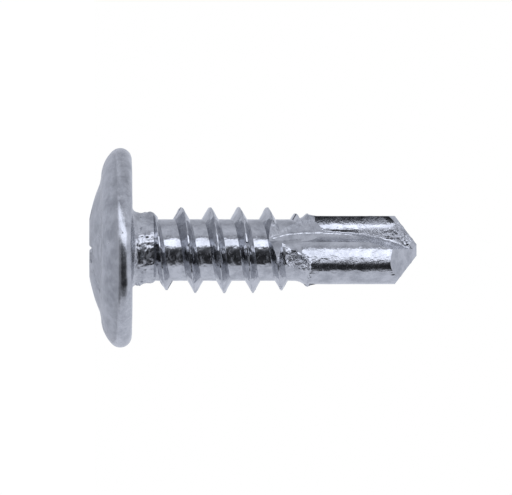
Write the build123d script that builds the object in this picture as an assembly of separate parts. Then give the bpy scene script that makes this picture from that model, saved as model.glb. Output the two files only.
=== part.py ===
from build123d import *
import os
from math import asin, atan, ceil, cos, degrees, floor, radians, sin, sqrt, tan

# A wafer head self drilling screw, in millimetres. It stands on its head: +Z runs from the drive
# face to the drill point, and the origin is the middle of the flat round the recess.
# The front is -Y. There the rake groove of the -X lobe and the back of the +X lobe are seen.

# Head: a low spherical crown on a thin flange with a rounded rim
HEAD_DIAMETER = 9.7
HEAD_HEIGHT = 2.05
CROWN_SPHERE_RADIUS = 8.0
CROWN_DIAMETER = 6.24
CROWN_FLAT_DIAMETER = 2.8
SHOULDER_DIAMETER = 6.8
SHOULDER_HEIGHT = 0.57
RIM_HEIGHT = 1.5
RIM_SPLIT = 45.0

# Cross recess, type H number 2, with four wings round a tapered core
RECESS_DIAMETER = 3.95
RECESS_DEPTH = 1.75
RECESS_BOTTOM_DIAMETER = 2.29
RECESS_CONE_ANGLE = 28.0
WING_WIDTH = 0.82
WING_BOTTOM_WIDTH = 0.6
CORE_DIAMETER = 1.9
CORE_BOTTOM_DIAMETER = 1.3
RECESS_TURN = 12.0

# Neck, on the head's axis. The rolled and pointed shank beyond it runs a little to +X.
NECK_DIAMETER = 3.43
NECK_FILLET = 0.42
NECK_END = 3.1
SHANK_RUNOUT = 0.11

# Shank and thread, ST4.2. The crest rises from the neck in a cone, and sinks into the drill body
# with the square of the height.
OVERALL_LENGTH = 15.98
ROOT_DIAMETER = 3.0
ROOT_END = 9.95
THREAD_DIAMETER = 4.18
THREAD_PITCH = 1.4
THREAD_ANGLE = 60.0
CREST_WIDTH = 0.05
CREST_HEIGHT = 5.16
FOOT_SHARE = 0.9
RUN_IN_START = 2.3
RUN_IN_END = 4.45
RUN_IN_SLOPE = 0.2
RUN_OUT_START = 8.3
RUN_OUT_RATE = 0.1

# Drill body and point
FLARE_DIAMETER = 3.54
DRILL_DIAMETER = 3.335
DRILL_START = 10.55
DRILL_SETTLED = 11.05
POINT_ANGLE = 105.2
LIP_CLEARANCE = 6.0
CHISEL_WIDTH = 0.6
FACET_ANGLE = 87.6

# Back of a lobe, from its heel on the land round to the web: radius and turn of each arc, then a
# straight wall down to the rake groove
HEEL_SETBACK = 0.146
BACK_ARCS = ((1.268, 60.0), (0.88, 35.0), (2.42, 13.0), (0.99, 46.0))

# Web between the two flutes
HALF_WEB = 0.21

# Rake groove of a lobe, a little deeper than the web
GROOVE_RADIUS = 0.976
GROOVE_ACROSS = 1.366
GROOVE_FLOOR = 0.146

# From THINNING_BEND on, the foot of the wall curves in to the axis, and thins the point
THINNING_BEND = 11.45
THINNING_RADIUS = 11.6
THINNING_WALL_ANGLE = 70.0

# Flute run-out. The back of the lobe slants out from the axis below RUNOUT_BEND. The lobe with
# the rake groove begins with two flats. Each passes through a point (across, out, height), and
# comes nearer to the axis by its two slopes along and across the screw.
RUNOUT_BEND = 10.26
RUNOUT_SLANT = (0.11, 0.5)
RUNOUT_SIDE = 0.4
STEEP_FLAT = (1.076, 1.03, 9.48)
STEEP_SLOPES = (0.6, -0.07)
GENTLE_FLAT = (0.96, 0.21, 11.38)
GENTLE_SLOPES = (0.4, 0.5)

# Bevel along the front of a cutting lip
BEVEL_WIDTH = 0.22
BEVEL_ANGLE = 33.0

# Dimple where the groove of the last thread ends at the drill body
DIMPLE_RADIUS = 0.85
DIMPLE_HEIGHT = 10.02
DIMPLE_ACROSS = 0.58
DIMPLE_OUT = 2.05

# Reach of the cutting bodies past the screw
REACH = OVERALL_LENGTH


def crown_height(radius):
    """Height of the crown's sphere over the drive face at a radius."""
    flat = CROWN_FLAT_DIAMETER / 2
    return sqrt(CROWN_SPHERE_RADIUS**2 - flat**2) - sqrt(CROWN_SPHERE_RADIUS**2 - radius**2)


def rim_arcs(width, height):
    """Two tangent arcs that turn from flat to upright within a width and a height."""
    sine = sin(radians(RIM_SPLIT))
    cosine = cos(radians(RIM_SPLIT))
    tight = (height * sine - width * (1 - cosine)) / (sine * cosine - (1 - sine) * (1 - cosine))
    wide = (width - tight * (1 - sine)) / sine
    return (wide, RIM_SPLIT), (tight, 90 - RIM_SPLIT)


def head():
    """The crown, flange and rim with the neck, turned round the head's own axis."""
    rim = HEAD_DIAMETER / 2
    crown = CROWN_DIAMETER / 2
    flat = CROWN_FLAT_DIAMETER / 2
    shoulder = SHOULDER_DIAMETER / 2
    lower_rim = HEAD_HEIGHT - RIM_HEIGHT
    neck = NECK_DIAMETER / 2
    root = ROOT_DIAMETER / 2
    middle = (flat + crown) / 2
    with BuildPart() as body:
        with BuildSketch(Plane.XZ):
            with BuildLine():
                Line((0, 0), (flat, 0))
                ThreePointArc((flat, 0), (middle, crown_height(middle)), (crown, crown_height(crown)))
                Line((crown, crown_height(crown)), (shoulder, SHOULDER_HEIGHT))
                point = Vector(shoulder, SHOULDER_HEIGHT)
                direction = Vector(1, 0)
                for radius, turn in rim_arcs(rim - shoulder, RIM_HEIGHT - SHOULDER_HEIGHT):
                    arc = JernArc(point, direction, radius, turn)
                    point = arc @ 1
                    direction = arc % 1
                JernArc((rim, RIM_HEIGHT), (0, 1), lower_rim, 90)
                Line((rim - lower_rim, HEAD_HEIGHT), (neck + NECK_FILLET, HEAD_HEIGHT))
                JernArc((neck + NECK_FILLET, HEAD_HEIGHT), (-1, 0), NECK_FILLET, -90)
                Polyline((neck, HEAD_HEIGHT + NECK_FILLET), (neck, NECK_END),
                         (root, NECK_END + neck - root), (0, NECK_END + neck - root), (0, 0))
            make_face()
        revolve(axis=Axis.Z)
    return body.part


def shank_blank():
    """Root cylinder and drill body round the shank's axis, before thread and point."""
    root = ROOT_DIAMETER / 2
    flare = FLARE_DIAMETER / 2
    drill = DRILL_DIAMETER / 2
    with BuildPart() as body:
        with BuildSketch(Plane.XZ):
            with BuildLine():
                Polyline((0, OVERALL_LENGTH), (0, HEAD_HEIGHT), (root, HEAD_HEIGHT), (root, ROOT_END))
                TangentArc((root, ROOT_END), (flare, DRILL_START), tangent=(0, 1))
                Polyline((flare, DRILL_START), (drill, DRILL_SETTLED), (drill, OVERALL_LENGTH),
                         (0, OVERALL_LENGTH))
            make_face()
        revolve(axis=Axis.Z)
    return body.part


def crest_radius(height):
    """Radius of the thread's crest where it passes a height."""
    full = THREAD_DIAMETER / 2
    if height < RUN_IN_END:
        return full - RUN_IN_SLOPE * (RUN_IN_END - height)
    if height > RUN_OUT_START:
        return full - RUN_OUT_RATE * (height - RUN_OUT_START)**2
    return full


def half_turn(step):
    """Half a turn of the V ridge, with its foot inside the shank. Step 0 has its crest at
    CREST_HEIGHT over +X, and each step goes on by half a turn."""
    rise = THREAD_PITCH / 2
    height = CREST_HEIGHT + step * rise
    crest = crest_radius(height)
    slope = degrees(atan((crest_radius(height + rise) - crest) / rise))
    depth = THREAD_DIAMETER / 2 - ROOT_DIAMETER / 2 * FOOT_SHARE
    half_crest = CREST_WIDTH / 2
    half_foot = half_crest + depth * tan(radians(THREAD_ANGLE / 2))
    corners = ((crest - depth, -half_foot), (crest, -half_crest), (crest, half_crest),
               (crest - depth, half_foot))
    lines = [Pos(0, 0, level) * Edge.make_helix(THREAD_PITCH, rise, radius, angle=slope)
             for radius, level in corners]
    sides = [Face.make_surface_from_curves(lines[number - 1], lines[number]) for number in range(4)]
    ends = [Face(Wire.make_polygon([line @ end for line in lines])) for end in (0, 1)]
    return Pos(0, 0, height) * Rot(0, 0, 180 * step) * Solid(Shell(sides + ends))


def thread():
    """The half turns from the neck to the drill body."""
    first = floor((RUN_IN_START - CREST_HEIGHT) / (THREAD_PITCH / 2))
    last = ceil((DRILL_START - CREST_HEIGHT) / (THREAD_PITCH / 2))
    return [half_turn(step) for step in range(first, last)]


def half_space(origin, normal):
    """All that lies beyond a plane."""
    return Plane(origin=origin, z_dir=normal) * Box(4 * REACH, 4 * REACH, 2 * REACH,
                                                    align=(Align.CENTER, Align.CENTER, Align.MIN))


def back_line():
    """The back of the +X lobe in section, from its heel to the foot of its wall."""
    drill = DRILL_DIAMETER / 2
    point = Vector(sqrt(drill**2 - HEEL_SETBACK**2), -HEEL_SETBACK)
    direction = Vector(0, -1)
    arcs = []
    for radius, turn in BACK_ARCS:
        arcs.append(JernArc(point, direction, radius, -turn))
        point = arcs[-1] @ 1
        direction = arcs[-1] % 1
    wall = Line(point, point + direction * ((-HALF_WEB - point.Y) / direction.Y))
    return arcs + [wall]


def flute():
    """The front flute: straight towards the point, and run out over a slanted back and a flat."""
    back = back_line()
    heel = back[0] @ 0
    foot = back[-1] @ 1
    front = Polyline(foot, (foot.X, -REACH), (REACH, -REACH), (REACH, heel.Y), heel)
    section = Pos(0, 0, RUNOUT_BEND) * Face(Wire(back + front.edges()))
    slant_across, slant_out = RUNOUT_SLANT
    straight_back = extrude(section, OVERALL_LENGTH)
    slanted_back = extrude(section, OVERALL_LENGTH - RUNOUT_BEND, dir=(slant_across, -slant_out, -1))
    before_flats = before_flat(STEEP_FLAT, STEEP_SLOPES) & before_flat(GENTLE_FLAT, GENTLE_SLOPES)
    beside_back = half_space((foot.X, 0, RUNOUT_BEND), (-1, 0, -slant_across))
    below_bend = half_space((0, 0, RUNOUT_BEND), (0, 0, -1))
    over_back = half_space((-RUNOUT_SIDE, 0, 0), (1, 0, 0))
    runout = slanted_back & over_back
    runout += (slanted_back + (beside_back & below_bend)) & before_flats
    rake = extrude(Pos(0, 0, RUNOUT_BEND) * rake_region(foot), OVERALL_LENGTH)
    return (straight_back & over_back) + ((straight_back + rake) & before_flats) + runout


def before_flat(point, slopes):
    """All that lies in front of a flat of the run-out."""
    across, out, height = point
    along_slope, across_slope = slopes
    return half_space((-across, -out, height), (-across_slope, -1, along_slope))


def rake_region(foot):
    """Section of the rake groove and the web's front, out to the foot of the other lobe's wall."""
    groove = Pos(-GROOVE_ACROSS, -GROOVE_FLOOR - GROOVE_RADIUS) * Circle(GROOVE_RADIUS)
    return groove + Pos(foot) * Rectangle(REACH, REACH, align=(Align.MAX, Align.MAX))


def thinning():
    """The cut that thins the web towards the point."""
    foot = back_line()[-1] @ 1
    wall = radians(THINNING_WALL_ANGLE)
    start = Vector(foot.X, -HALF_WEB, THINNING_BEND)
    turn = degrees(asin((OVERALL_LENGTH - THINNING_BEND) / THINNING_RADIUS))
    edge = foot.X + GROOVE_ACROSS
    with BuildSketch(Plane(origin=start, x_dir=(0, 0, 1), z_dir=(0, -1, 0))) as region:
        with BuildLine():
            curve = JernArc((0, 0), (1, 0), THINNING_RADIUS, -turn)
            Polyline(curve @ 1, ((curve @ 1).X, edge), (0, edge), (0, 0))
        make_face()
    return extrude(region.sketch, REACH, dir=(cos(wall), -sin(wall), 0))


def point_cuts():
    """What is taken off above one cutting lip, the lip's bevel and the facet of the point's front."""
    half_angle = radians(POINT_ANGLE / 2)
    clearance = radians(LIP_CLEARANCE)
    above = Vector(-cos(half_angle), 0, sin(half_angle))
    front = Vector(0, -1, 0)
    lip = Vector(-CHISEL_WIDTH / 2, -GROOVE_FLOOR, OVERALL_LENGTH)
    above_lip = half_space(lip, above * cos(clearance) - front * sin(clearance))
    bevel = radians(BEVEL_ANGLE)
    before_bevel = half_space(lip - above * BEVEL_WIDTH, above * sin(bevel) + front * cos(bevel))
    behind_web = half_space((0, -HALF_WEB, 0), (0, 1, 0))
    half_facet = radians(FACET_ANGLE / 2)
    before_facet = half_space((0, 0, OVERALL_LENGTH), (0, -cos(half_facet), sin(half_facet)))
    return above_lip + (before_bevel & behind_web) + before_facet


def shank():
    """Thread and drill point, made round the Z axis."""
    body = shank_blank() + thread()
    dimple = Pos(DIMPLE_ACROSS, -DIMPLE_OUT, DIMPLE_HEIGHT) * Sphere(DIMPLE_RADIUS)
    front = flute() + thinning() + point_cuts() + dimple
    return body - front - Rot(0, 0, 180) * front


def tapered_wing():
    """One pair of opposite wings of the recess, narrowing to its bottom."""
    slope = (RECESS_DIAMETER - RECESS_BOTTOM_DIAMETER) / RECESS_DEPTH
    draft = (WING_WIDTH - WING_BOTTOM_WIDTH) / RECESS_DEPTH
    mouth = Pos(0, 0, -1) * Rectangle(RECESS_DIAMETER + slope, WING_WIDTH + draft)
    bottom = Pos(0, 0, RECESS_DEPTH) * Rectangle(RECESS_BOTTOM_DIAMETER, WING_BOTTOM_WIDTH)
    return loft([mouth.face(), bottom.face()], ruled=True)


def recess():
    """The cross recess: crossed wings, a tapered core and a shallow cone below."""
    core_slope = (CORE_DIAMETER - CORE_BOTTOM_DIAMETER) / RECESS_DEPTH
    core = Pos(0, 0, -1) * Cone((CORE_DIAMETER + core_slope) / 2, CORE_BOTTOM_DIAMETER / 2,
                                RECESS_DEPTH + 1, align=(Align.CENTER, Align.CENTER, Align.MIN))
    nose_depth = CORE_BOTTOM_DIAMETER / 2 * tan(radians(RECESS_CONE_ANGLE))
    nose = Pos(0, 0, RECESS_DEPTH) * Cone(CORE_BOTTOM_DIAMETER / 2, 0, nose_depth,
                                          align=(Align.CENTER, Align.CENTER, Align.MIN))
    wings = tapered_wing() + Rot(0, 0, 90) * tapered_wing()
    return Rot(0, 0, RECESS_TURN) * (wings + core + nose)


def screw():
    """The whole screw, cut from one blank."""
    return head() + Pos(SHANK_RUNOUT, 0, 0) * shank() - recess()


os.makedirs("parts", exist_ok=True)
export_step(screw().solid(), "parts/screw.step")
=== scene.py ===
from math import cos, pi, radians, sin

import bpy
import numpy as np
from mathutils import Matrix, Vector
from mathutils.noise import noise as perlin


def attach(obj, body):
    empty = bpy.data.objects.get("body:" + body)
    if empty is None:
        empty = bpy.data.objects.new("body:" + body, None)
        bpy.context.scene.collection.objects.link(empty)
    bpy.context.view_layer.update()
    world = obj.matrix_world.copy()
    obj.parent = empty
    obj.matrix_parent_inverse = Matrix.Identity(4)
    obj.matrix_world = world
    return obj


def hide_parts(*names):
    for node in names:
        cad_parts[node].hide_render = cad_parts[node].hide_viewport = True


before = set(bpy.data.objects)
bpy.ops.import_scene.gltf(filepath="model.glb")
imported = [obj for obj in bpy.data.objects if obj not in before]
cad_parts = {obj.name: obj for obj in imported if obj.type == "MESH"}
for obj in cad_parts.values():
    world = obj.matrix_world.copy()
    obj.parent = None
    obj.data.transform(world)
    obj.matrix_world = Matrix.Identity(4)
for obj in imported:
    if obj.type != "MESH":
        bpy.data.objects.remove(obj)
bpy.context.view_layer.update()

MM = 0.001
WHITE = (1.0, 1.0, 1.0, 1.0)

# The photograph's frame. The screw lies across it, so image right is +Z and image up is -X.
IMAGE_WIDTH = 512
IMAGE_MIDDLE = (256.0, 247.5)
PIXELS_PER_MM = 20.5
DRIVE_FACE_COLUMN = 89.65
HEAD_AXIS_ROW = 247.8
CAMERA_DISTANCE = 140 * MM
CAMERA_HEIGHT = 0.3 * MM
CAMERA_SENSOR = 36.0
CLIP_START = 1 * MM

# Studio round the screw: its cards, each with an angle from the camera's side towards -X, in
# degrees, and a level; how far they lean; and the level above and below them, with the rise of
# the directions over which it takes over.
CARDS = ((-180, 0.73), (-64, 0.73), (-56, 0.45), (-50, 0.05), (-24, 0.02), (-4, 0.06), (8, 0.16),
         (12, 0.5), (16, 1.68), (38, 1.68), (42, 0.75), (48, 0.27), (54, 0.57), (76, 0.68),
         (110, 0.5), (150, 0.6), (180, 0.73))
CARD_LEAN = 0.25
END_LEVEL = 0.72
END_SPAN = (0.75, 0.95)
STUDIO_TINT = (0.935, 0.975, 1.10, 1.0)

# Floor: a plain surface, which holds the shadow, under shares of light of its own. Metal sees a
# white glow near the screw and a sheen of the cards farther out. The camera sees mostly white.
FLOOR_RADIUS = 300 * MM
FLOOR_SIDES = 96
FLOOR_COLOR = (0.8, 0.8, 0.8, 1.0)
FLOOR_ROUGHNESS = 0.9
GLOW_RADII = (4.0 * MM, 6.5 * MM)
GLOW_SHARES = (0.46, 0.04)
SHEEN_RADII = (6.5 * MM, 9.5 * MM)
SHEEN_SHARES = (0.0, 0.86)
SEEN_SHARE = 0.75
SEEN_LEVEL = 1.2

# Zinc plate. A noise has a scale per mm, a detail and a roughness; a span of heights is in mm.
CLOUD_NOISE = (1.5, 6.0, 0.72)
CLOUD_COLORS = ((0.36, (0.43, 0.44, 0.465, 1.0)), (0.60, (0.64, 0.65, 0.675, 1.0)))
SHANK_SPAN = (2.0, 2.4)
DRILL_SPAN = (10.15, 10.55)
POLISH_NOISE = (3.0, 4.0, 0.6)
POLISH_SPAN = (0.3, 0.7)
HEAD_ROUGHNESS = (0.15, 0.28)
SHANK_ROUGHNESS = (0.04, 0.11)
DULL_ROUGHNESS = 0.58
DULL_SPAN = (0.4, 0.58)
DULL_SHARES = (0.25, 1.0)

# Bumps of the plate: their depths, and their strengths on the head and the shank (waves), on the
# thread and the drill (grain), and the strength that full wear adds to the grain.
WAVE_NOISE = (3.2, 2.0, 0.5)
WAVE_DEPTH = 0.05 * MM
WAVE_STRENGTHS = (0.14, 0.35)
GRAIN_NOISE = (12.0, 4.0, 0.7)
GRAIN_DEPTH = 0.03 * MM
GRAIN_STRENGTHS = (0.12, 0.24)
WORN_STRENGTH = 0.4

# Fine mesh of the screw, in mm: the heights that part its stretches and the longest edge on each;
# the longest edge at marks, how near a burr or nick that is, and how torn a place, from 0 to 1.
# Then the most halvings, the angle in degrees from which an edge stays sharp, and the digits to
# which the CAD mesh's points are welded.
EDGE_HEIGHTS = (1.0, 2.1, 3.3, 9.5, 10.6)
LONGEST_EDGES = (0.28, 0.20, 0.11, 0.17, 0.14, 0.16)
FINE_EDGE = 0.07
FINE_REACH = 0.09
TORN_SHARE = 0.3
HALVINGS = 7
SHARP_ANGLE = 25.0
WELD_DIGITS = 5

# Forms that the relief follows, in mm: the shank's axis in X, the neck's heights and radius, the
# height where the thread ends, the radius where crests start, and the heights over which the
# relief sets in above the resting face.
SHANK_AXIS = 0.11
NECK_START = 2.05
NECK_END = 3.2
NECK_FADE = 0.3
NECK_RADIUS = 1.72
THREAD_END = 9.95
CREST_START = 1.8
CREST_FADE = 0.2
REST_SPAN = (0.02, 0.25)

# Ripples of each part: a scale per mm and a rise in mm, or in torn places a share of their depth.
COARSE_SCALE = 4.5
FINE_SCALE = 11.0
HEAD_RIPPLES = ((0.9, 0.010), (3.5, 0.004))
SHANK_RIPPLES = ((COARSE_SCALE, 0.007), (FINE_SCALE, 0.004))
NECK_RIPPLES = ((COARSE_SCALE, 0.032), (FINE_SCALE, 0.016))
CREST_RIPPLES = ((3.0, 0.03), (FINE_SCALE, 0.02))
TORN_RIPPLES = ((5.0, 1.0), (FINE_SCALE, 1.0))

# Lumps left by forming: height, angle from +X towards -Y in degrees, spread, and rise.
LUMPS = ((2.42, 5.0, 0.16, 0.16), (2.62, 20.0, 0.12, 0.08), (2.3, 178.0, 0.2, -0.06),
         (2.95, 168.0, 0.16, 0.07), (2.6, 150.0, 0.14, 0.05), (2.75, 110.0, 0.12, 0.05),
         (2.9, 60.0, 0.14, 0.06), (3.55, 12.0, 0.2, 0.05))

# Fine burrs on both sides of the point: width, rise, and line of heights and offsets across. The
# first is by the dimple, and the second is where the photograph shows the crease of the flute. A
# coarse ripple scatters their rise.
BURRS = ((0.06, 0.09, ((9.56, 0.12), (9.92, 0.06), (10.26, 0.28), (10.6, 0.64), (10.64, 1.2),
                       (10.54, 1.48), (10.62, 1.7))),
         (0.045, 0.03, ((8.87, -0.6), (9.56, -0.78), (10.4, -0.86), (11.2, -0.88), (11.86, -0.83),
                        (12.7, -0.77), (13.4, -0.7), (14.1, -0.55), (14.8, -0.39), (15.5, -0.07))))
BURR_SCATTER = 0.4

# Nicks in the near side of the crown, given like burrs, but with offsets from the head's axis.
NICKS = ((0.06, -0.12, ((0.17, 1.22), (0.28, 1.6), (0.42, 1.98))),
         (0.03, -0.03, ((0.12, 0.1), (0.16, 0.7))))
NICK_SCATTER = 1.5
NICK_END = 0.6

# Ovals on both sides of the shank: height, offset across, radius along and radius across, and then
# the depth of a torn place or the wear of a dull one. They fade over OVAL_SPAN of their radii.
TEARS = ((10.05, 0.56, 0.55, 0.45, 0.05), (15.15, -0.95, 0.33, 0.42, 0.035),
         (15.5, -0.55, 0.3, 0.35, 0.035), (14.62, -0.75, 0.3, 0.3, 0.02), (14.75, 1.1, 0.12, 0.2, 0.03))
DULL_PLACES = ((13.95, -0.82, 0.95, 0.3, 1.0), (13.9, -1.45, 0.7, 0.22, 1.0),
               (15.2, -0.85, 0.6, 0.6, 1.0), (10.05, 0.56, 0.45, 0.4, 1.0),
               (12.5, -1.45, 1.9, 0.2, 0.4), (12.7, 0.58, 2.2, 0.12, 0.6), (2.6, 0.0, 0.7, 2.6, 0.3))
OVAL_SPAN = (0.6, 1.2)


def set_inputs(tree, node, inputs):
    """Links or writes each of a node's inputs that is given."""
    for name, value in inputs.items():
        if isinstance(value, bpy.types.NodeSocket):
            tree.links.new(value, node.inputs[name])
        else:
            node.inputs[name].default_value = value


def new_node(tree, kind, inputs=None, **settings):
    node = tree.nodes.new(kind)
    for name, value in settings.items():
        setattr(node, name, value)
    set_inputs(tree, node, inputs or {})
    return node


def math_node(tree, operation, *values):
    return new_node(tree, "ShaderNodeMath", dict(enumerate(values)), operation=operation).outputs[0]


def noise(tree, place, settings):
    scale, detail, roughness = settings
    inputs = {"Vector": place, "Scale": scale, "Detail": detail, "Roughness": roughness}
    return new_node(tree, "ShaderNodeTexNoise", inputs).outputs[0]


def color_ramp(tree, value, stops):
    """A ramp over 0..1 with the given stops, each a position and a color."""
    ramp = new_node(tree, "ShaderNodeValToRGB", {0: value})
    elements = ramp.color_ramp.elements
    elements.remove(elements[1])
    for number, (position, color) in enumerate(stops):
        element = elements[0] if number == 0 else elements.new(position)
        element.position = position
        element.color = color
    return ramp.outputs[0]


def map_range(tree, value, span, results=(0.0, 1.0), interpolation="LINEAR"):
    inputs = {"Value": value, "From Min": span[0], "From Max": span[1],
              "To Min": results[0], "To Max": results[1]}
    return new_node(tree, "ShaderNodeMapRange", inputs, interpolation_type=interpolation).outputs[0]


# The inputs of a Mix node share their names between its data types, so they are given by number.
def mix_values(tree, share, first, second):
    inputs = {0: share, 2: first, 3: second}
    return new_node(tree, "ShaderNodeMix", inputs, data_type="FLOAT").outputs[0]


def mix_colors(tree, share, first, second, blend="MIX"):
    inputs = {0: share, 6: first, 7: second}
    return new_node(tree, "ShaderNodeMix", inputs, data_type="RGBA", blend_type=blend).outputs[2]


def mix_shaders(tree, share, first, second):
    inputs = {0: share, 1: first.outputs[0], 2: second.outputs[0]}
    return new_node(tree, "ShaderNodeMixShader", inputs)


def card_color(tree, direction):
    """What the cards show in a direction from the screw."""
    x, y, z = new_node(tree, "ShaderNodeSeparateXYZ", {0: direction}).outputs
    image_up = math_node(tree, "MULTIPLY", x, -1.0)
    to_camera = math_node(tree, "MULTIPLY", y, -1.0)
    angle = math_node(tree, "ARCTAN2", image_up, to_camera)
    leant = math_node(tree, "MULTIPLY_ADD", math_node(tree, "ARCSINE", z), CARD_LEAN, angle)
    share = math_node(tree, "MULTIPLY_ADD", leant, 1 / (2 * pi), 0.5)
    stops = [((degrees + 180) / 360, (level, level, level, 1.0)) for degrees, level in CARDS]
    return color_ramp(tree, share, stops)


def tinted(tree, color):
    return mix_colors(tree, 1.0, color, STUDIO_TINT, "MULTIPLY")


def build_world():
    """A soft studio of light and dark cards along the screw, which the camera sees as white."""
    world = bpy.data.worlds.new("studio")
    bpy.context.scene.world = world
    world.use_nodes = True
    tree = world.node_tree
    tree.nodes.clear()
    direction = new_node(tree, "ShaderNodeTexCoord").outputs["Generated"]
    rise = new_node(tree, "ShaderNodeSeparateXYZ", {0: direction}).outputs["Z"]
    steep = map_range(tree, math_node(tree, "ABSOLUTE", rise), END_SPAN, interpolation="SMOOTHSTEP")
    end_color = (END_LEVEL, END_LEVEL, END_LEVEL, 1.0)
    color = mix_colors(tree, steep, card_color(tree, direction), end_color)
    studio = new_node(tree, "ShaderNodeBackground", {"Color": tinted(tree, color)})
    white = new_node(tree, "ShaderNodeBackground", {"Color": WHITE})
    from_camera = new_node(tree, "ShaderNodeLightPath").outputs["Is Camera Ray"]
    shown = mix_shaders(tree, from_camera, studio, white)
    new_node(tree, "ShaderNodeOutputWorld", {"Surface": shown.outputs[0]})


def new_material(name):
    material = bpy.data.materials.new(name)
    material.use_nodes = True
    return material, material.node_tree, material.node_tree.nodes["Principled BSDF"]


def floor_material():
    material, tree, shader = new_material("floor")
    set_inputs(tree, shader, {"Base Color": FLOOR_COLOR, "Roughness": FLOOR_ROUGHNESS})
    place = new_node(tree, "ShaderNodeTexCoord").outputs["Object"]
    radius = new_node(tree, "ShaderNodeVectorMath", {0: place}, operation="LENGTH").outputs["Value"]
    glow = map_range(tree, radius, GLOW_RADII, GLOW_SHARES)
    sheen = map_range(tree, radius, SHEEN_RADII, SHEEN_SHARES)
    color = mix_colors(tree, sheen, WHITE, card_color(tree, place))
    mirrored = new_node(tree, "ShaderNodeEmission", {"Color": tinted(tree, color)})
    white = new_node(tree, "ShaderNodeEmission", {"Color": WHITE, "Strength": SEEN_LEVEL})
    rays = new_node(tree, "ShaderNodeLightPath").outputs
    from_metal = math_node(tree, "MAXIMUM", rays["Is Glossy Ray"], rays["Is Transmission Ray"])
    mirrored_share = math_node(tree, "MULTIPLY", from_metal, math_node(tree, "ADD", glow, sheen))
    seen_share = math_node(tree, "MULTIPLY", rays["Is Camera Ray"], SEEN_SHARE)
    reflected = mix_shaders(tree, mirrored_share, shader, mirrored)
    shown = mix_shaders(tree, seen_share, reflected, white)
    set_inputs(tree, tree.nodes["Material Output"], {"Surface": shown.outputs[0]})
    return material


def build_floor():
    bpy.ops.mesh.primitive_circle_add(vertices=FLOOR_SIDES, radius=FLOOR_RADIUS, fill_type="NGON")
    floor = bpy.context.object
    floor.name = "floor"
    floor.data.materials.append(floor_material())


def plate_bumps(tree, waves, wave_strength, grain, grain_strength):
    """The normal of the plate, with soft waves and a fine grain over them."""
    inputs = {"Distance": WAVE_DEPTH, "Strength": wave_strength, "Height": waves}
    waved = new_node(tree, "ShaderNodeBump", inputs).outputs[0]
    inputs = {"Distance": GRAIN_DEPTH, "Strength": grain_strength, "Height": grain, "Normal": waved}
    return new_node(tree, "ShaderNodeBump", inputs).outputs[0]


def plate_roughness(tree, place, on_shank, dull):
    """Satin on the head, bright on the shank and matt in dull places."""
    polish = noise(tree, place, POLISH_NOISE)
    head = map_range(tree, polish, POLISH_SPAN, HEAD_ROUGHNESS)
    shank = map_range(tree, polish, POLISH_SPAN, SHANK_ROUGHNESS)
    return mix_values(tree, dull, mix_values(tree, on_shank, head, shank), DULL_ROUGHNESS)


def zinc_material():
    """Zinc plate: satin and clouded on the cold-formed head, bright and pitted on the shank."""
    material, tree, shader = new_material("zinc_plate")
    object_place = new_node(tree, "ShaderNodeTexCoord").outputs["Object"]
    inputs = {0: object_place, "Scale": 1 / MM}
    place = new_node(tree, "ShaderNodeVectorMath", inputs, operation="SCALE").outputs[0]
    height = new_node(tree, "ShaderNodeSeparateXYZ", {0: place}).outputs["Z"]
    on_shank = map_range(tree, height, SHANK_SPAN)
    worn = new_node(tree, "ShaderNodeAttribute", attribute_name="dull").outputs["Fac"]
    grain = noise(tree, place, GRAIN_NOISE)
    dull = math_node(tree, "MULTIPLY", worn, map_range(tree, grain, DULL_SPAN, DULL_SHARES))
    wave_strength = map_range(tree, on_shank, (0.0, 1.0), WAVE_STRENGTHS)
    plain_strength = map_range(tree, height, DRILL_SPAN, GRAIN_STRENGTHS)
    grain_strength = math_node(tree, "MULTIPLY_ADD", worn, WORN_STRENGTH, plain_strength)
    waves = noise(tree, place, WAVE_NOISE)
    set_inputs(tree, shader, {
        "Metallic": 1.0,
        "Base Color": color_ramp(tree, noise(tree, place, CLOUD_NOISE), CLOUD_COLORS),
        "Roughness": plate_roughness(tree, place, on_shank, dull),
        "Normal": plate_bumps(tree, waves, wave_strength, grain, grain_strength)})
    return material


def build_camera():
    """The photograph's camera, turned a quarter turn so that the screw lies across the picture."""
    data = bpy.data.cameras.new("camera")
    camera = bpy.data.objects.new("camera", data)
    bpy.context.scene.collection.objects.link(camera)
    aim = Vector(((IMAGE_MIDDLE[1] - HEAD_AXIS_ROW) / PIXELS_PER_MM * MM, 0.0,
                  (IMAGE_MIDDLE[0] - DRIVE_FACE_COLUMN) / PIXELS_PER_MM * MM))
    place = Vector((aim.x, -CAMERA_DISTANCE, CAMERA_HEIGHT))
    back = (place - aim).normalized()
    up = Vector((-1.0, 0.0, 0.0))
    right = up.cross(back).normalized()
    turn = Matrix((right, up, back)).transposed().to_4x4()
    camera.matrix_world = Matrix.Translation(place) @ turn
    data.sensor_width = CAMERA_SENSOR
    data.lens = CAMERA_SENSOR * (place - aim).length / (IMAGE_WIDTH / PIXELS_PER_MM * MM)
    data.clip_start = CLIP_START
    bpy.context.scene.camera = camera


def unit(vectors):
    return vectors / np.linalg.norm(vectors, axis=-1, keepdims=True)


def smooth_step(value, low, high):
    share = np.clip((value - low) / (high - low), 0.0, 1.0)
    return share * share * (3 - 2 * share)


def on_front(points):
    """Points about the shank's axis, those of the far side turned half a turn to the near side."""
    centred = points - (SHANK_AXIS, 0.0, 0.0)
    side = np.where(centred[:, 1:2] > 0, -1.0, 1.0)
    return centred * np.concatenate((side, side, np.ones_like(side)), axis=1)


def on_near_crown(points):
    return (points[:, 2] < NICK_END) & (points[:, 1] < 0)


def within(front, height, across, radius_along, radius_across):
    """1 in the middle of an oval place and 0 outside it."""
    distance = np.hypot((front[:, 2] - height) / radius_along, (front[:, 0] - across) / radius_across)
    return 1 - smooth_step(distance, *OVAL_SPAN)


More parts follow.
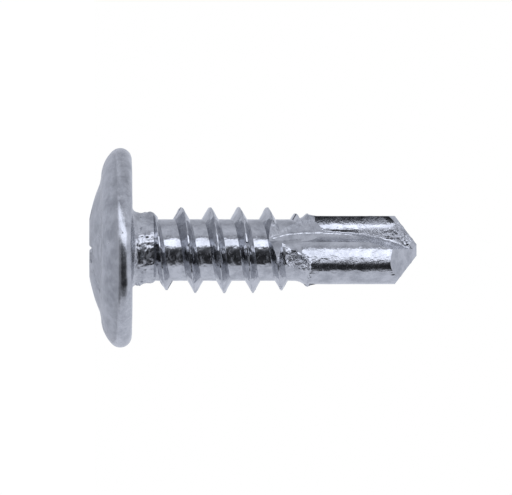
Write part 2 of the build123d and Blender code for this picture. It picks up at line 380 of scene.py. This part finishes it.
def line_distance(front, line):
    """Distance from a line of heights and offsets across, seen from the side."""
    place = front[:, [2, 0]]
    nearest = np.full(len(front), np.inf)
    for start, end in zip(np.array(line[:-1]), np.array(line[1:])):
        way = end - start
        share = np.clip((place - start) @ way / (way @ way), 0.0, 1.0)
        nearest = np.minimum(nearest, np.linalg.norm(place - start - share[:, None] * way, axis=1))
    return nearest


def ripple(points, scale):
    return np.array([perlin(Vector(point)) for point in (points * scale).tolist()])


def rippled(points, ripples):
    return sum(rise * ripple(points, scale) for scale, rise in ripples)


def plate_relief(points):
    """Ripples of the plate, which are fine on head and shank and rough on neck and crests."""
    z = points[:, 2]
    front = on_front(points)
    out = np.hypot(front[:, 0], front[:, 1])
    on_shank = smooth_step(z, NECK_START, NECK_START + NECK_FADE)
    on_neck = on_shank * (1 - smooth_step(z, NECK_END - NECK_FADE, NECK_END + NECK_FADE))
    on_crest = on_shank * smooth_step(out, CREST_START, CREST_START + CREST_FADE) * (z < THREAD_END)
    on_head = (1 - on_shank) * smooth_step(z, *REST_SPAN)
    return (on_head * rippled(points, HEAD_RIPPLES) + on_shank * rippled(points, SHANK_RIPPLES)
            + on_neck * rippled(points, NECK_RIPPLES) + on_crest * rippled(points, CREST_RIPPLES))


def lump_relief(points):
    """Round lumps and dents on the neck and by the start of the thread."""
    height = np.zeros(len(points))
    for level, degrees, spread, rise in LUMPS:
        angle = radians(degrees)
        centre = (NECK_RADIUS * cos(angle), -NECK_RADIUS * sin(angle), level)
        distance = np.linalg.norm(points - centre, axis=1) / spread
        height += rise * np.exp(-distance * distance)
    return height


def line_relief(points, seen, lines, scatter):
    """Ridges or grooves along lines, with an uneven height. The lines lie on the points as seen."""
    uneven = 1 + scatter * ripple(points, COARSE_SCALE)
    return uneven * sum(rise * np.exp(-(line_distance(seen, line) / width) ** 2)
                        for width, rise, line in lines)


def torn_relief(points):
    """Rough metal in the torn places."""
    front = on_front(points)
    rough = rippled(points, TORN_RIPPLES)
    return sum(depth * within(front, *place) * rough for *place, depth in TEARS)


def relief(points):
    """Height of the formed and plated surface over the plain one, in mm."""
    burrs = line_relief(points, on_front(points), BURRS, BURR_SCATTER)
    nicks = on_near_crown(points) * line_relief(points, points, NICKS, NICK_SCATTER)
    return plate_relief(points) + lump_relief(points) + burrs + nicks + torn_relief(points)


def dullness(points):
    """Share of the plate's shine that wear has taken, from 0 to 1."""
    front = on_front(points)
    shares = [share * within(front, *place) for *place, share in DULL_PLACES]
    return np.max(shares, axis=0)


def read_triangles(node):
    """Points in mm, welded, with each triangle's corners and the normals there."""
    mesh = node.data
    points = np.zeros(len(mesh.vertices) * 3)
    mesh.vertices.foreach_get("co", points)
    corners = np.zeros(len(mesh.loops), dtype=int)
    mesh.loops.foreach_get("vertex_index", corners)
    normals = np.zeros(len(mesh.loops) * 3)
    mesh.corner_normals.foreach_get("vector", normals)
    rounded = np.round(points.reshape(-1, 3) / MM, WELD_DIGITS)
    welded, number = np.unique(rounded, axis=0, return_inverse=True)
    triangles = number.reshape(-1)[corners].reshape(-1, 3)
    whole = (triangles != np.roll(triangles, 1, axis=1)).all(axis=1)
    return welded, triangles[whole], normals.reshape(-1, 3, 3)[whole]


def sides_of(triangles):
    """Each triangle's three sides, the distinct edges and the edge of each side."""
    sides = np.stack((triangles, np.roll(triangles, -1, axis=1)), axis=2)
    edges, number = np.unique(np.sort(sides.reshape(-1, 2), axis=1), axis=0, return_inverse=True)
    return sides, edges, number.reshape(-1, 3)


def mean_by_edge(vectors, edge_of_side, edge_count):
    """Mean for each edge of the vectors that its sides have."""
    number = edge_of_side.reshape(-1)
    total = np.zeros((edge_count, 3))
    np.add.at(total, number, vectors.reshape(-1, 3))
    return total / np.bincount(number)[:, None]


def side_middles(points, sides, normals):
    """The middle of each side, on the curve that the normals at its ends give."""
    start = points[sides[:, :, 0]]
    chord = points[sides[:, :, 1]] - start
    after = np.roll(normals, -1, axis=1)
    rise_before = (chord * normals).sum(axis=2, keepdims=True) * normals
    rise_after = (chord * after).sum(axis=2, keepdims=True) * after
    return start + chord / 2 + (rise_after - rise_before) / 8


def longest_edge(middles):
    """Longest edge that the mesh may have at each place."""
    front = on_front(middles)
    from_burr = np.min([line_distance(front, line) for width, rise, line in BURRS], axis=0)
    from_nick = np.min([line_distance(middles, line) for width, rise, line in NICKS], axis=0)
    torn = np.max([within(front, *place) for *place, depth in TEARS], axis=0) > TORN_SHARE
    marked = (from_burr < FINE_REACH) | torn | (on_near_crown(middles) & (from_nick < FINE_REACH))
    limit = np.array(LONGEST_EDGES)[np.searchsorted(EDGE_HEIGHTS, middles[:, 2])]
    return np.where(marked, FINE_EDGE, limit)


# How a triangle is divided, by its number of divided sides, which come first: its corners are 0 to
# 2, and the middles of its sides 3 to 5.
DIVISIONS = {0: ((0, 1, 2),), 1: ((0, 3, 2), (3, 1, 2)), 2: ((3, 1, 4), (0, 3, 4), (0, 4, 2)),
             3: ((0, 3, 5), (3, 1, 4), (5, 4, 2), (3, 4, 5))}


def divide(places, normals, divided):
    """New triangles and normals, from each triangle's corners and side middles."""
    count = divided.sum(axis=1)
    first = np.where(count == 1, divided.argmax(axis=1), 0)
    first = np.where(count == 2, (divided.argmin(axis=1) + 1) % 3, first)
    order = (np.arange(3) + first[:, None]) % 3
    order = np.concatenate((order, order + 3), axis=1)
    places = np.take_along_axis(places, order, axis=1)
    normals = np.take_along_axis(normals, order[:, :, None], axis=1)
    parts = [(places[count == kind][:, corners], normals[count == kind][:, corners])
             for kind, division in DIVISIONS.items() for corners in division]
    return [np.concatenate(part) for part in zip(*parts)]


def refine(points, triangles, normals):
    """Halves every edge that is too long, with its middle on the curve that the normals give."""
    for halving in range(HALVINGS):
        sides, edges, edge_of_side = sides_of(triangles)
        ends = points[edges]
        divided = np.linalg.norm(ends[:, 0] - ends[:, 1], axis=1) > longest_edge(ends.mean(axis=1))
        middles = mean_by_edge(side_middles(points, sides, normals), edge_of_side, len(edges))
        number = np.cumsum(divided) - 1 + len(points)
        points = np.concatenate((points, middles[divided]))
        places = np.concatenate((triangles, number[edge_of_side]), axis=1)
        middle_normals = unit(normals + np.roll(normals, -1, axis=1))
        place_normals = np.concatenate((normals, middle_normals), axis=1)
        triangles, normals = divide(places, place_normals, divided[edge_of_side])
    return points, triangles, normals


def mark_sharp_edges(mesh, triangles, normals):
    """Keeps those edges sharp at which the plain surface has two normals."""
    sides, edges, edge_of_side = sides_of(triangles)
    side_normals = (normals + np.roll(normals, -1, axis=1)) / 2
    agreement = np.linalg.norm(mean_by_edge(side_normals, edge_of_side, len(edges)), axis=1)
    sharp_edges = edges[agreement < cos(radians(SHARP_ANGLE / 2))]
    sharp = {tuple(edge) for edge in sharp_edges.tolist()}
    ends = np.zeros(len(mesh.edges) * 2, dtype=int)
    mesh.edges.foreach_get("vertices", ends)
    pairs = np.sort(ends.reshape(-1, 2), axis=1).tolist()
    mesh.edges.foreach_set("use_edge_sharp", [tuple(pair) in sharp for pair in pairs])


def build_screw():
    """The screw with a fine mesh, which lies on the CAD node's form and carries the relief."""
    points, triangles, normals = refine(*read_triangles(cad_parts["screw"]))
    outward = np.zeros_like(points)
    np.add.at(outward, triangles.reshape(-1), normals.reshape(-1, 3))
    moved = points + unit(outward) * relief(points)[:, None]
    mesh = bpy.data.meshes.new("screw_surface")
    mesh.from_pydata((moved * MM).tolist(), [], triangles.tolist())
    mesh.polygons.foreach_set("use_smooth", np.ones(len(triangles), dtype=bool))
    mark_sharp_edges(mesh, triangles, normals)
    mesh.attributes.new("dull", "FLOAT", "POINT").data.foreach_set("value", dullness(points))
    mesh.materials.append(zinc_material())
    piece = bpy.data.objects.new("screw_surface", mesh)
    bpy.context.scene.collection.objects.link(piece)
    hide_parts("screw")
    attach(piece, "root")


build_screw()
build_world()
build_floor()
build_camera()
bpy.context.scene.view_settings.view_transform = "Standard"
